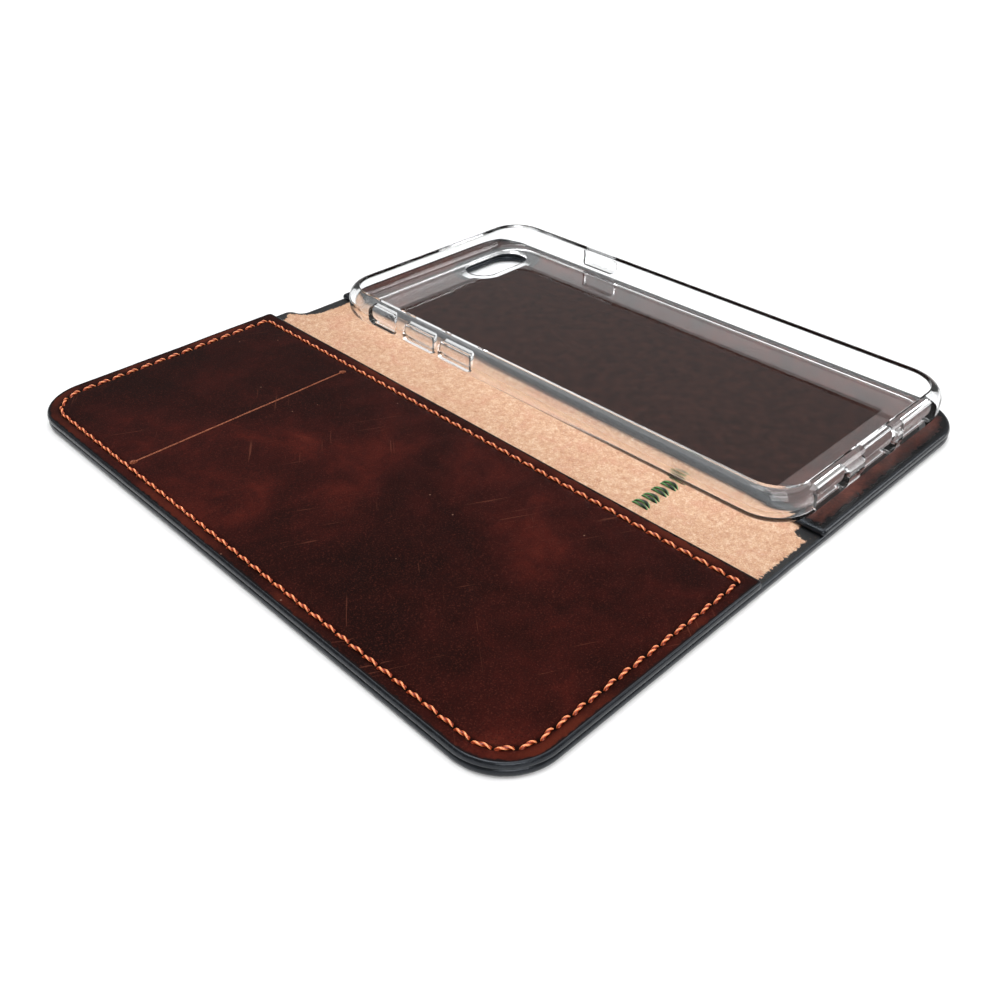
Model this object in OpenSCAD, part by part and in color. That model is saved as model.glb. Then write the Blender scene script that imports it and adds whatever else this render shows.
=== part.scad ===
// Leather folio phone case, lying open and flat with its inside up.
// X runs across the open folio (front cover -X, back cover +X), Y along the
// phone towards its top end, Z up. The origin is the middle of the footprint
// on the surface that the case lies on.

/* [Folio] */
// Width of the open folio
folio_w = 150; // [150:0.5:152]
// Length of the front cover
folio_l = 156; // [155:0.5:158]
// How much shorter the spine and back cover are at the top end
top_step = 4; // [3:0.5:4]
// Radius of the outer corners of the covers
corner_r = 12; // [8:1:14]
// Width of the flexible spine between the covers
spine_w = 15; // [15:0.1:15.4]
// Thickness of the outer hide
hide_t = 1.8; // [1.6:0.1:1.8]
// Thickness of the pocket panel and of the back lining
panel_t = 1.4; // [1.2:0.1:1.4]
// Distance from the front of the back cover to the edge of its lining
lining_inset = 5.5; // [5:0.5:8]

/* [Card slot] */
// Distance of the card slot from the top end of the pocket panel
slot_from_top = 39.7; // [30:0.1:45]
// Width of the cut
slot_w = 0.8; // [0.6:0.1:1.2]
// Diameter of the punched holes at the ends of the cut
slot_hole_d = 1.6; // [1.4:0.1:2]

/* [Pocket seam] */
// Distance of the seam from the edge of the panel
seam_inset = 3.3; // [3:0.1:3.6]
// Number of stitches round the pocket
seam_count = 110; // [100:1:114]
// Length of one stitch
stitch_l = 2.8; // [2.4:0.1:3]
// Diameter of the waxed thread
thread_d = 0.7; // [0.6:0.05:0.7]
// Slant of the stitches to the seam, in degrees
stitch_slant = 9; // [0:1:12]

/* [Spine stitches] */
// Distance of the stitches from the bottom end
spine_seam_y = 32.1; // [28:0.1:40]
// Length of one spine stitch
spine_stitch_l = 3.6; // [3:0.1:4]
// Diameter of the spine thread
spine_thread_d = 0.45; // [0.35:0.05:0.5]

/* [Phone] */
// Width of the phone that the shell holds
phone_w = 67; // [66.6:0.1:67]
// Length of the phone
phone_l = 138.1; // [137:0.1:138.5]
// Thickness of the phone
phone_t = 6.9; // [6.7:0.1:6.9]
// Corner radius of the phone, seen from the front
phone_r = 9.5; // [9:0.5:10]

/* [Clear shell] */
// Thickness of the side walls
wall_t = 1.3; // [1:0.1:1.3]
// Thickness of the floor
floor_t = 0.9; // [0.8:0.1:1]
// Height of the lip above the phone's glass
lip_h = 0.4; // [0.2:0.1:0.5]
// How far the lip reaches over the phone on each side
lip_over = 1.6; // [1.2:0.1:1.8]
// Place of the shell's middle across the open folio
shell_x = 39.5; // [39.5:0.1:39.7]
// Place of the shell's middle along the folio
shell_y = -4; // [-4:0.1:-2]
// Travel of the pads over the phone's buttons
pad_travel = 0.4; // [0.3:0.05:0.4]

/* [Hidden] */
$fn = 48;

// Folds: three spine strips of equal width, with a gap at each fold line. The
// middle strip turns a quarter turn to each cover, about an axis above the
// leather, and the outer strips half as far about their cover's edge.
strip_w = spine_w / 3;
fold_gap = 0.2;
fold_front_x = -spine_w / 2;
fold_back_x = spine_w / 2;
left_x = -folio_w / 2;
right_x = folio_w / 2;
bottom_y = -folio_l / 2;
front_top_y = folio_l / 2;
back_top_y = front_top_y - top_step;

// S-shaped step of the top edge: two equal arcs, one after the other
step_w = 5;
step_x0 = fold_front_x + 4;
step_x1 = step_x0 + step_w;
step_r = (pow(step_w / 2, 2) + pow(top_step / 2, 2)) / top_step;

// Panel on the front cover
panel_gap = 0.15;
panel_right_x = fold_front_x - panel_gap;
panel_spine_r = 1.2;
panel_z = hide_t;
panel_top = hide_t + panel_t;
lining_x = fold_back_x + lining_inset;

// Card slot, from just inside the outer seam to a little short of the spine seam
slot_y = front_top_y - slot_from_top;
slot_to_outer_seam = 1.6;
slot_to_spine_seam = 3.4;
slot_x0 = left_x + seam_inset + slot_to_outer_seam;
slot_x1 = panel_right_x - seam_inset - slot_to_spine_seam;

// Seam: groove, and the path of its stitches from the spine's top corner,
// round the two outer corners and back along the spine. The groove is deeper
// on the outer face, where the thread lies below the surface.
groove_w = 1.3;
groove_d = 0.45;
outer_groove_d = 0.7;
seam_r = corner_r - seam_inset;
seam_x0 = left_x + seam_inset;
seam_x1 = panel_right_x - seam_inset;
seam_y0 = bottom_y + seam_inset;
seam_y1 = front_top_y - seam_inset;
side_run = seam_x1 - seam_x0 - seam_r;
arc_run = seam_r * PI / 2;
long_run = seam_y1 - seam_y0 - 2 * seam_r;
spine_run = seam_y1 - seam_y0;
seam_run = 2 * side_run + 2 * arc_run + long_run + spine_run;
seam_marks = [side_run, side_run + arc_run, side_run + arc_run + long_run,
              side_run + 2 * arc_run + long_run, 2 * side_run + 2 * arc_run + long_run];

// Spine stitches: places across the spine, and the room pressed for them in the
// inner and outer face
spine_stitch_x = [-3.7, 0, 3.5, 6.0, 8.7];
stitch_pair = 0.35;
outer_room_d = 0.5;
inner_room_d = 0.3;
room_gap = 0.15;

// Film under the shell
film_t = 0.1;
film_w = 46;
film_l = 118;

// Clear shell
shell_z = panel_top + film_t;
shell_w = phone_w + 2 * wall_t;
shell_l = phone_l + 2 * wall_t;
shell_r = phone_r + wall_t;
shell_h = floor_t + phone_t + lip_h;
phone_side_r = phone_t / 2;
port_z = floor_t + phone_side_r;
base_r = 3;
brow_r = 3.6;

// Cut-outs and pads, in the shell's own frame
camera_x = phone_w / 2 - 16;
camera_y = phone_l / 2 - 7.6;
camera_slot = 10.5;
camera_d = 10.5;
leather_camera_d = 13.5;
jack_x = -18.8;
jack_w = 12.4;
speaker_x = 16.6;
speaker_w = 15;
small_port_h = 5;
port_r = 1.6;
connector_w = 13.6;
connector_h = 6;
switch_y = phone_l / 2 - 18.9;
switch_w = 10.4;
switch_h = 5;
volume_up_y = phone_l / 2 - 33.2;
volume_down_y = phone_l / 2 - 46.2;
power_y = phone_l / 2 - 33.2;
pad_l = 11.2;
pad_h = 4.2;
pad_r = 1.1;
pad_proud = 0.4;
pad_gap = 0.15;
// Cuts through the walls start this far inside them
cut_inside = 3.5;
cut_l = 6;

hide_colour = [0.16, 0.06, 0.035];
flesh_colour = [0.80, 0.58, 0.40];
thread_colour = [0.85, 0.33, 0.16];
green_colour = [0.05, 0.16, 0.06];
clear_colour = [0.85, 0.87, 0.88, 0.4];

// ---- Outlines ----

module box2(x0, x1, y0, y1) {
    translate([x0, y0]) square([x1 - x0, y1 - y0]);
}

// Rectangle with round corners, of one radius at each side; 0 leaves them square
module round_rect(x0, x1, y0, y1, r_left, r_right) {
    box2(x0 + r_left, x1 - r_right, y0, y1);
    if (r_left > 0) {
        box2(x0, x0 + r_left, y0 + r_left, y1 - r_left);
        for (y = [y0 + r_left, y1 - r_left]) translate([x0 + r_left, y]) circle(r_left);
    }
    if (r_right > 0) {
        box2(x1 - r_right, x1, y0 + r_right, y1 - r_right);
        for (y = [y0 + r_right, y1 - r_right]) translate([x1 - r_right, y]) circle(r_right);
    }
}

// Slot with round ends, along X
module slot2(length, d) {
    square([length, d], center = true);
    for (s = [-1, 1]) translate([s * length / 2, 0]) circle(d = d);
}

// Outline of the whole outer hide
module hide_outline() {
    round_rect(left_x, step_x0, bottom_y, front_top_y, corner_r, 0);
    round_rect(step_x0, right_x, bottom_y, back_top_y, 0, corner_r);
    // Step down from the front cover's top edge to the back cover's
    intersection() {
        translate([step_x0, front_top_y - step_r]) circle(step_r);
        box2(step_x0, step_x0 + step_w / 2, back_top_y - 1, front_top_y);
    }
    difference() {
        box2(step_x0, step_x1, back_top_y - 1, back_top_y + top_step / 2);
        translate([step_x1, back_top_y + step_r]) circle(step_r);
    }
}

module panel_outline(inset) {
    round_rect(left_x + inset, panel_right_x - inset, bottom_y + inset, front_top_y - inset,
               corner_r - inset, panel_spine_r);
}

module seam_groove_outline() {
    difference() {
        panel_outline(seam_inset - groove_w / 2);
        panel_outline(seam_inset + groove_w / 2);
    }
}

module camera_outline(d) {
    translate([shell_x + camera_x, shell_y + camera_y]) slot2(camera_slot, d);
}

// One piece of the outer hide between two places across the folio
module hide_piece(x0, x1) {
    linear_extrude(hide_t) intersection() {
        hide_outline();
        box2(x0, x1, bottom_y, front_top_y);
    }
}

// ---- Seam stitches ----

// Point and direction, in degrees, at distance s along the seam
function seam_at(s) =
    s < seam_marks[0] ? [seam_x1 - s, seam_y1, 180] :
    s < seam_marks[1] ? seam_arc(s - seam_marks[0], seam_y1 - seam_r, 90) :
    s < seam_marks[2] ? [seam_x0, seam_y1 - seam_r - (s - seam_marks[1]), 270] :
    s < seam_marks[3] ? seam_arc(s - seam_marks[2], seam_y0 + seam_r, 180) :
    s < seam_marks[4] ? [seam_x0 + seam_r + s - seam_marks[3], seam_y0, 0] :
                        [seam_x1, seam_y0 + s - seam_marks[4], 90];

function seam_arc(s, y, a0) =
    let (a = a0 + s / seam_r * 180 / PI)
    [seam_x0 + seam_r + seam_r * cos(a), y + seam_r * sin(a), a + 90];

module thread_bar(length, d) {
    rotate([0, 90, 0]) rotate(22.5) cylinder(h = length, d = d, center = true, $fn = 8);
}

// The flats of an eight-sided bar are this far from its middle
function flat(d) = d / 2 * cos(22.5);

module seam_row(z, slant) {
    for (i = [0 : seam_count - 1])
        let (p = seam_at((i + 0.5) * seam_run / seam_count))
            translate([p[0], p[1], z]) rotate(p[2] + slant) thread_bar(stitch_l, thread_d);
}

// ---- Leather ----

module front_cover() {
    color(hide_colour) difference() {
        hide_piece(left_x, fold_front_x - fold_gap / 2);
        translate([0, 0, -1]) linear_extrude(outer_groove_d + 1) seam_groove_outline();
    }
}

module pocket_panel() {
    color(hide_colour) difference() {
        translate([0, 0, panel_z]) linear_extrude(panel_t) difference() {
            panel_outline(0);
            box2(slot_x0, slot_x1, slot_y - slot_w / 2, slot_y + slot_w / 2);
            for (x = [slot_x0, slot_x1]) translate([x, slot_y]) circle(d = slot_hole_d);
        }
        translate([0, 0, panel_top - groove_d]) linear_extrude(1) seam_groove_outline();
    }
}

module pocket_seam_thread() {
    color(thread_colour) {
        seam_row(panel_top - groove_d + flat(thread_d), stitch_slant);
        seam_row(outer_groove_d - flat(thread_d), -stitch_slant);
    }
}

// Room in both faces of the hide for the spine stitches between two places
module stitch_room(x0, x1) {
    w = 2 * stitch_pair + spine_thread_d + 2 * room_gap;
    l = spine_stitch_l + 2 * room_gap;
    for (x = spine_stitch_x) if (x > x0 && x < x1)
        translate([x - w / 2, bottom_y + spine_seam_y - l / 2, 0]) {
            translate([0, 0, -1]) cube([w, l, outer_room_d + 1]);
            translate([0, 0, hide_t - inner_room_d]) cube([w, l, inner_room_d + 1]);
        }
}

module spine_strip(i) {
    x0 = fold_front_x + (i - 1) * strip_w + fold_gap / 2;
    x1 = fold_front_x + i * strip_w - fold_gap / 2;
    color(flesh_colour) difference() {
        hide_piece(x0, x1);
        stitch_room(x0, x1);
    }
}

module spine_strip_1() { spine_strip(1); }
module spine_strip_2() { spine_strip(2); }
module spine_strip_3() { spine_strip(3); }

module back_cover() {
    color(hide_colour) difference() {
        hide_piece(fold_back_x + fold_gap / 2, right_x);
        translate([0, 0, -1]) linear_extrude(hide_t + 2) camera_outline(leather_camera_d);
        stitch_room(fold_back_x, right_x);
    }
}

module back_lining() {
    color(hide_colour) translate([0, 0, hide_t]) linear_extrude(panel_t) difference() {
        intersection() {
            hide_outline();
            box2(lining_x, right_x, bottom_y, back_top_y);
        }
        camera_outline(leather_camera_d);
    }
}

// Pairs of thread on both faces of the spine, for the stitches between two places
module spine_stitches(x0, x1) {
    color(green_colour) for (x = spine_stitch_x) if (x > x0 && x < x1)
        for (s = [-1, 1], z = [outer_room_d - flat(spine_thread_d),
                               hide_t - inner_room_d + flat(spine_thread_d)])
            translate([x + s * stitch_pair, bottom_y + spine_seam_y, z])
                rotate(90) thread_bar(spine_stitch_l, spine_thread_d);
}

module spine_stitch_1() { spine_stitches(fold_front_x, fold_front_x + strip_w); }
module spine_stitch_2() { spine_stitches(fold_front_x + strip_w, fold_front_x + 2 * strip_w); }
module spine_stitch_3() { spine_stitches(fold_front_x + 2 * strip_w, fold_back_x); }
module spine_stitch_4() { spine_stitches(fold_back_x, right_x); }

// ---- Clear shell ----

// A bar with round corners: its side profile is turned round each corner and
// drawn along each side. The profile runs from the corner's axis to radius r.
module rounded_bar(w, l, r) {
    cx = w / 2 - r;
    cy = l / 2 - r;
    for (a = [0, 90, 180, 270])
        translate([(a == 0 || a == 270 ? 1 : -1) * cx, (a < 180 ? 1 : -1) * cy, 0])
            rotate(a) rotate_extrude(angle = 90) children();
    for (s = [0, 180]) rotate(s) {
        translate([cx, cy, 0]) rotate([90, 0, 0]) linear_extrude(2 * cy) children();
        translate([-cx, cy, 0]) rotate([90, 0, 90]) linear_extrude(2 * cx) children();
    }
    translate([-cx, -cy, 0]) linear_extrude(shell_h) square([2 * cx, 2 * cy]);
}

// Outside of the shell: round base edge, upright side and round brow
module shell_profile(r, grow) {
    box2(0, r - base_r, 0, base_r);
    box2(0, r + grow, base_r, shell_h - brow_r);
    box2(0, r - brow_r, shell_h - brow_r, shell_h);
    intersection() {
        translate([r - base_r, base_r]) circle(base_r + grow);
        box2(r - base_r, r + grow, 0, base_r);
    }
    intersection() {
        translate([r - brow_r, shell_h - brow_r]) circle(brow_r + grow);
        box2(r - brow_r, r + grow, shell_h - brow_r, shell_h);
    }
}

// The phone's own side: fully round, and of radius r from the corner's axis
module phone_profile(r) {
    translate([0, floor_t]) {
        box2(0, r - phone_side_r, 0, phone_t);
        intersection() {
            translate([r - phone_side_r, phone_side_r]) circle(phone_side_r);
            box2(r - phone_side_r, r, 0, phone_t);
        }
    }
}

module phone_body() {
    intersection() {
        rounded_bar(phone_w, phone_l, phone_r) phone_profile(phone_r);
        translate([0, 0, floor_t + phone_t / 2]) cube([phone_w + 2, phone_l + 2, phone_t], center = true);
    }
}

module pad_window(grow) {
    round_rect(-pad_l / 2 - grow, pad_l / 2 + grow, port_z - pad_h / 2 - grow,
               port_z + pad_h / 2 + grow, pad_r + grow, pad_r + grow);
}

// Cuts through one end wall or side wall, drawn as outlines along it
module end_cut(x) {
    translate([x, -shell_l / 2 + cut_inside, 0]) rotate([90, 0, 0]) linear_extrude(cut_l) children();
}

module side_cut(side, y) {
    translate([side * (shell_w / 2 - cut_inside), y, 0]) rotate([90, 0, side * 90])
        linear_extrude(cut_l) children();
}

module port_outline(w, h) {
    round_rect(-w / 2, w / 2, port_z - h / 2, port_z + h / 2, port_r, port_r);
}

module mouth() {
    w = phone_w - 2 * lip_over;
    l = phone_l - 2 * lip_over;
    r = phone_r - lip_over;
    translate([0, 0, port_z]) linear_extrude(shell_h) round_rect(-w / 2, w / 2, -l / 2, l / 2, r, r);
}

module clear_shell() {
    color(clear_colour) translate([shell_x, shell_y, shell_z]) difference() {
        rounded_bar(shell_w, shell_l, shell_r) shell_profile(shell_r, 0);
        phone_body();
        mouth();
        end_cut(jack_x) port_outline(jack_w, small_port_h);
        end_cut(0) port_outline(connector_w, connector_h);
        end_cut(speaker_x) port_outline(speaker_w, small_port_h);
        side_cut(-1, switch_y) port_outline(switch_w, switch_h);
        side_cut(-1, volume_up_y) pad_window(pad_gap);
        side_cut(-1, volume_down_y) pad_window(pad_gap);
        side_cut(1, power_y) pad_window(pad_gap);
        translate([camera_x, camera_y, -1]) linear_extrude(floor_t + 2) slot2(camera_slot, camera_d);
    }
}

// A pad over one of the phone's buttons, a little proud of the side wall and
// its travel away from the phone
module button_pad(side, y) {
    color(clear_colour) translate([shell_x, shell_y, shell_z]) intersection() {
        translate([side * (shell_w / 2 - shell_r), y + pad_l / 2, 0]) mirror([side < 0 ? 1 : 0, 0, 0])
            rotate([90, 0, 0]) linear_extrude(pad_l) difference() {
                shell_profile(shell_r, pad_proud);
                phone_profile(phone_r + pad_travel);
            }
        side_cut(side, y) pad_window(0);
    }
}

module volume_up_pad() { button_pad(-1, volume_up_y); }
module volume_down_pad() { button_pad(-1, volume_down_y); }
module power_pad() { button_pad(1, power_y); }

module mounting_film() {
    color("black") translate([0, 0, panel_top]) linear_extrude(film_t) difference() {
        translate([shell_x, shell_y]) square([film_w, film_l], center = true);
        camera_outline(leather_camera_d);
    }
}

front_cover();
pocket_panel();
pocket_seam_thread();
spine_strip_1();
spine_strip_2();
spine_strip_3();
back_cover();
spine_stitch_1();
spine_stitch_2();
spine_stitch_3();
spine_stitch_4();
back_lining();
mounting_film();
clear_shell();
volume_up_pad();
volume_down_pad();
power_pad();
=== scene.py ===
"""Looks of a leather folio phone case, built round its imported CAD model.

The case lies open on a pale floor: front cover and pocket panel at -X, spine in
the middle, back cover, lining and clear shell at +X. Lengths are millimetres
until make_mesh() turns them into metres.
"""
import math

import bpy
import numpy as np
from mathutils import Matrix, Vector, kdtree, noise
from mathutils.geometry import delaunay_2d_cdt


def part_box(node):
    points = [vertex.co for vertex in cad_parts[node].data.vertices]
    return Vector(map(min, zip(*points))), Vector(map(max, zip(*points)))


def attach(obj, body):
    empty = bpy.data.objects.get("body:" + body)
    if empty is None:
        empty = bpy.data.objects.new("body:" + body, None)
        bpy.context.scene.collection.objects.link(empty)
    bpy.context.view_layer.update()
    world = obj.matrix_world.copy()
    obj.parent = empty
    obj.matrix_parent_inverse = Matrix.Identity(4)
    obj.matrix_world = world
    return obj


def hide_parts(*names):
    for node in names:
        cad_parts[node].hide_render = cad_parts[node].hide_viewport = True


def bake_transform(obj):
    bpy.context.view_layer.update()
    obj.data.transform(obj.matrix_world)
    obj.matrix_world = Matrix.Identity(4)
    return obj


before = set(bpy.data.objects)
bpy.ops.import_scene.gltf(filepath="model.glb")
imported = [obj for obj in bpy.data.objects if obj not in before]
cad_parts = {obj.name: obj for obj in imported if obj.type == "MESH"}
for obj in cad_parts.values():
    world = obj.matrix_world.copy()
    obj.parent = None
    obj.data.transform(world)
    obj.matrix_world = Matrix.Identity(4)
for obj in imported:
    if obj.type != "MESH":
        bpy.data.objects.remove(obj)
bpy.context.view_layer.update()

MM = 0.001


def node_box(name):
    """Lowest and highest corner of a CAD node, in millimetres."""
    return [np.array(corner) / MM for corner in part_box(name)]


# ---- Sizes, from the frame where a node has them ----

front_lo, front_hi = node_box("front_cover")
back_hi = node_box("back_cover")[1]
panel_hi = node_box("pocket_panel")[1]
lining_lo, lining_hi = node_box("back_lining")

LEFT, RIGHT = front_lo[0], back_hi[0]
BOTTOM, FRONT_TOP, BACK_TOP = front_lo[1], front_hi[1], back_hi[1]
HIDE_T = front_hi[2]
PANEL_RIGHT, PANEL_TOP = panel_hi[0], panel_hi[2]
LINING_LEFT, LINING_TOP = lining_lo[0], lining_hi[2]
CORNER_R = 12.0

# Rounding of each sheet's edges, and the slack in telling which faces are on an edge
HIDE_EDGE_R, PANEL_EDGE_R, LINING_EDGE_R = 0.75, 0.6, 0.9
EDGE_SLACK = 0.01

# Height at which the panel's and the lining's edges stand out furthest
LAYER_MIDDLE = HIDE_T + 0.45

# The S-shaped step between the two top edges
STEP_X0, STEP_X1 = -3.5, 1.5
STEP_H = FRONT_TOP - BACK_TOP
STEP_R = ((STEP_X1 - STEP_X0) ** 2 + STEP_H**2) / (4 * STEP_H)

# Where the hide bends when the case closes, and where it is cut into pieces
BEND_OUT, BEND_IN = 8.6, 1.5

# Pocket seam
SEAM_INSET = 3.3
SEAM_COUNT = 110
SEAM_X0, SEAM_X1 = LEFT + SEAM_INSET, PANEL_RIGHT - SEAM_INSET
SEAM_Y0, SEAM_Y1 = BOTTOM + SEAM_INSET, FRONT_TOP - SEAM_INSET
SEAM_R = CORNER_R - SEAM_INSET

# Card slot in the pocket panel: a narrow cut with a small round hole at each end
SLOT_Y = FRONT_TOP - 39.7
SLOT_X0, SLOT_X1 = SEAM_X0 + 1.6, SEAM_X1 - 3.4
SLOT_HALF_W, SLOT_END_R, SLOT_EDGE_R = 0.2, 0.7, 0.2

# Window in hide and lining for the phone's camera
WINDOW_X, WINDOW_Y = 57.0, 57.45
WINDOW_RUN, WINDOW_D = 10.5, 13.5

# Green stitches across the spine: their Y, and how far each strand is from a pair's middle
GREEN_Y = BOTTOM + 32.1
PAIR_OFFSET = 0.34


# ---- Camera, floor and light ----


def add_camera():
    """The photograph's view: 36 degrees down, from the front cover's bottom corner."""
    data = bpy.data.cameras.new("camera")
    data.lens = 37.7
    data.sensor_width = 36
    data.clip_start = 0.01
    camera = bpy.data.objects.new("camera", data)
    aim = Matrix.Rotation(math.radians(-44.91), 4, "Z")
    tilt = Matrix.Rotation(math.radians(54.03), 4, "X")
    roll = Matrix.Rotation(math.radians(0.21), 4, "Z")
    turn = aim @ tilt @ roll
    camera.matrix_world = Matrix.Translation((-0.1453, -0.1474, 0.1276)) @ turn
    bpy.context.scene.collection.objects.link(camera)
    bpy.context.scene.camera = camera


def add_area(name, place, size, power):
    """A square soft light that looks at the middle of the case."""
    data = bpy.data.lights.new(name, "AREA")
    data.size = size
    data.energy = power
    light = bpy.data.objects.new(name, data)
    light.location = place
    light.rotation_euler = (-Vector(place)).to_track_quat("-Z", "Y").to_euler()
    bpy.context.scene.collection.objects.link(light)


def add_sky():
    """Even light from above, the same over the whole floor."""
    data = bpy.data.lights.new("sky", "SUN")
    data.energy = 2.2
    data.angle = math.radians(75)
    light = bpy.data.objects.new("sky", data)
    light.rotation_euler = (math.radians(-8), math.radians(10), 0)
    bpy.context.scene.collection.objects.link(light)


def add_backdrop(r, height):
    """A round white wall, seen behind the case in low views; it lights nothing."""
    turns = [math.radians(a) for a in range(0, 360, 10)]
    low = [(r * math.cos(a), r * math.sin(a), -1.0) for a in turns]
    high = [(x, y, height) for x, y, _ in low]
    n = len(turns)
    faces = [(i, n + i, n + (i + 1) % n, (i + 1) % n) for i in range(n)]
    mesh = bpy.data.meshes.new("backdrop")
    mesh.from_pydata(low + high, [], faces)
    wall = bpy.data.objects.new("backdrop", mesh)
    wall.visible_diffuse = False
    wall.visible_glossy = False
    wall.visible_shadow = False
    bpy.context.scene.collection.objects.link(wall)
    paint = Shader("backdrop_white")
    glow = paint.add("Emission", {"Strength": 0.97})
    paint.add("OutputMaterial", {"Surface": glow.outputs[0]})
    mesh.materials.append(paint.material)


def add_stage():
    """Pale floor, even pale surroundings and soft studio light."""
    mesh = bpy.data.meshes.new("floor")
    far = 40.0
    corners = [(-far, -far, 0), (far, -far, 0), (far, far, 0), (-far, far, 0)]
    mesh.from_pydata(corners, [], [(0, 1, 2, 3)])
    floor = bpy.data.objects.new("floor", mesh)
    just_below = -0.0001
    floor.location = (0, 0, just_below)
    bpy.context.scene.collection.objects.link(floor)
    paint = Shader("floor_paper")
    paint.finish({"Base Color": (0.9, 0.9, 0.9, 1), "Roughness": 0.8, "Specular IOR Level": 0.1})
    floor.data.materials.append(paint.material)
    add_backdrop(r=8.0, height=10.0)
    world = bpy.data.worlds.new("studio")
    world.use_nodes = True
    background = world.node_tree.nodes["Background"]
    background.inputs["Color"].default_value = (0.98, 0.99, 1.0, 1)
    background.inputs["Strength"].default_value = 0.33
    bpy.context.scene.world = world
    bpy.context.scene.view_settings.view_transform = "Standard"
    add_sky()
    add_area("key", (-0.25, 0.1, 1.3), size=0.5, power=3.6)
    add_area("fill", (-0.3, -0.45, 0.35), size=0.35, power=1.6)
    add_area("side", (0.9, -0.7, 0.6), size=0.5, power=3.5)


# ---- Node helpers ----


class Shader:
    """A material, and short ways to add the nodes that it is made of."""

    def __init__(self, name):
        self.material = bpy.data.materials.new(name)
        self.material.use_nodes = True
        self.tree = self.material.node_tree
        self.tree.nodes.clear()

    def add(self, kind, inputs, **settings):
        """A node; each input is a socket to link or a value to set."""
        node = self.tree.nodes.new("ShaderNode" + kind)
        for key, value in settings.items():
            setattr(node, key, value)
        for key, value in inputs.items():
            if isinstance(value, bpy.types.NodeSocket):
                self.tree.links.new(value, node.inputs[key])
            else:
                node.inputs[key].default_value = value
        return node

    def attribute(self, name, output="Fac"):
        """A number, or the rest place, that the mesh carries on its points."""
        return self.add("Attribute", {}, attribute_name=name).outputs[output]

    def place(self, scale=(1, 1, 1), turn=0.0, shift=(0, 0, 0)):
        """Rest position in millimetres, turned about Z, moved and then stretched."""
        rest = self.attribute("rest", "Vector")
        rotation = (0, 0, math.radians(turn))
        turned = self.add("Mapping", {"Vector": rest, "Rotation": rotation, "Location": shift})
        return self.add("Mapping", {"Vector": turned.outputs[0], "Scale": scale}).outputs[0]

    def noise(self, where, scale, detail=4.0, rough=0.5, warp=0.0):
        """Cloudy noise from 0 to 1."""
        inputs = {
            "Vector": where,
            "Scale": scale,
            "Detail": detail,
            "Roughness": rough,
            "Distortion": warp,
        }
        return self.add("TexNoise", inputs).outputs["Fac"]

    def cells(self, where, scale, feature="F1"):
        """Distance from the nearest of many scattered spots."""
        inputs = {"Vector": where, "Scale": scale}
        return self.add("TexVoronoi", inputs, feature=feature).outputs["Distance"]

    def math(self, operation, a, b=0.0, c=0.0):
        """One arithmetic step; MULTIPLY_ADD is a * b + c."""
        return self.add("Math", {0: a, 1: b, 2: c}, operation=operation).outputs[0]

    def step(self, value, low, high, out_low=0.0, out_high=1.0):
        """Smooth change from out_low to out_high while value goes from low to high."""
        inputs = {
            "Value": value,
            "From Min": low,
            "From Max": high,
            "To Min": out_low,
            "To Max": out_high,
        }
        return self.add("MapRange", inputs, interpolation_type="SMOOTHSTEP").outputs[0]

    def ramp(self, value, stops):
        """Colours at the given places along value."""
        node = self.add("ValToRGB", {0: value})
        points = node.color_ramp.elements
        while len(points) < len(stops):
            points.new(0.5)
        for point, (where, colour) in zip(points, stops):
            point.position = where
            point.color = (*colour, 1)
        return node.outputs[0]

    def mix(self, share, a, b):
        """Colour a where share is 0, colour b where it is 1."""
        node = self.add("Mix", {0: share}, data_type="RGBA")
        for index, value in ((6, a), (7, b)):
            if isinstance(value, bpy.types.NodeSocket):
                self.tree.links.new(value, node.inputs[index])
            else:
                node.inputs[index].default_value = (*value, 1)
        return node.outputs[2]

    def bump(self, height, strength, depth_mm):
        """Normal of a relief of the given depth."""
        inputs = {"Height": height, "Strength": strength, "Distance": depth_mm * MM}
        return self.add("Bump", inputs).outputs[0]

    def finish(self, inputs):
        """The surface shader and the output."""
        surface = self.add("BsdfPrincipled", inputs)
        self.add("OutputMaterial", {"Surface": surface.outputs[0]})
        return surface


# ---- Materials ----


# Black edge dye where it has run into the leather's faces
DYE_BLACK = (0.0035, 0.0036, 0.0042)


def edge_black():
    """Burnished black edge: dyed, waxed and rubbed until it shines, with small dents."""
    s = Shader("edge_black")
    tone = s.noise(s.place(), 0.9, 5, 0.7)
    colour = s.ramp(tone, [(0.35, (0.0020, 0.0022, 0.0028)), (0.7, (0.0080, 0.0092, 0.0120))])
    rough = s.math("MULTIPLY_ADD", tone, 0.30, 0.06)
    dents = s.noise(s.place((1, 1, 2.5)), 1.3, 4, 0.6)
    normal = s.bump(dents, 0.5, 0.10)
    s.finish({
        "Base Color": colour,
        "Roughness": rough,
        "Normal": normal,
        "Specular IOR Level": 0.36,
        "Specular Tint": (0.84, 0.91, 1.0, 1),
    })
    return s.material


def black_rim(s, wide=0.0):
    """Share of black dye that ran in from the edge, with an uneven inner limit."""
    uneven = s.noise(s.place(), 0.7, 3, 0.6)
    reach = s.math("MULTIPLY_ADD", uneven, -1.3 - wide, s.attribute("edge"))
    return s.step(reach, 0.05, 0.5 + wide, 1.0, 0.0)


def mottle(s, large, small):
    """Cloudy tone from 0 to 1 of a hand-dyed hide."""
    clouds = s.noise(s.place(), large, 5, 0.55, 0.7)
    smudges = s.noise(s.place(shift=(31, 7, 0)), small, 6, 0.62, 0.4)
    tone = s.math("MULTIPLY_ADD", smudges, 0.45, s.math("MULTIPLY", clouds, 0.75))
    return s.math("SUBTRACT", tone, 0.1)


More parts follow.
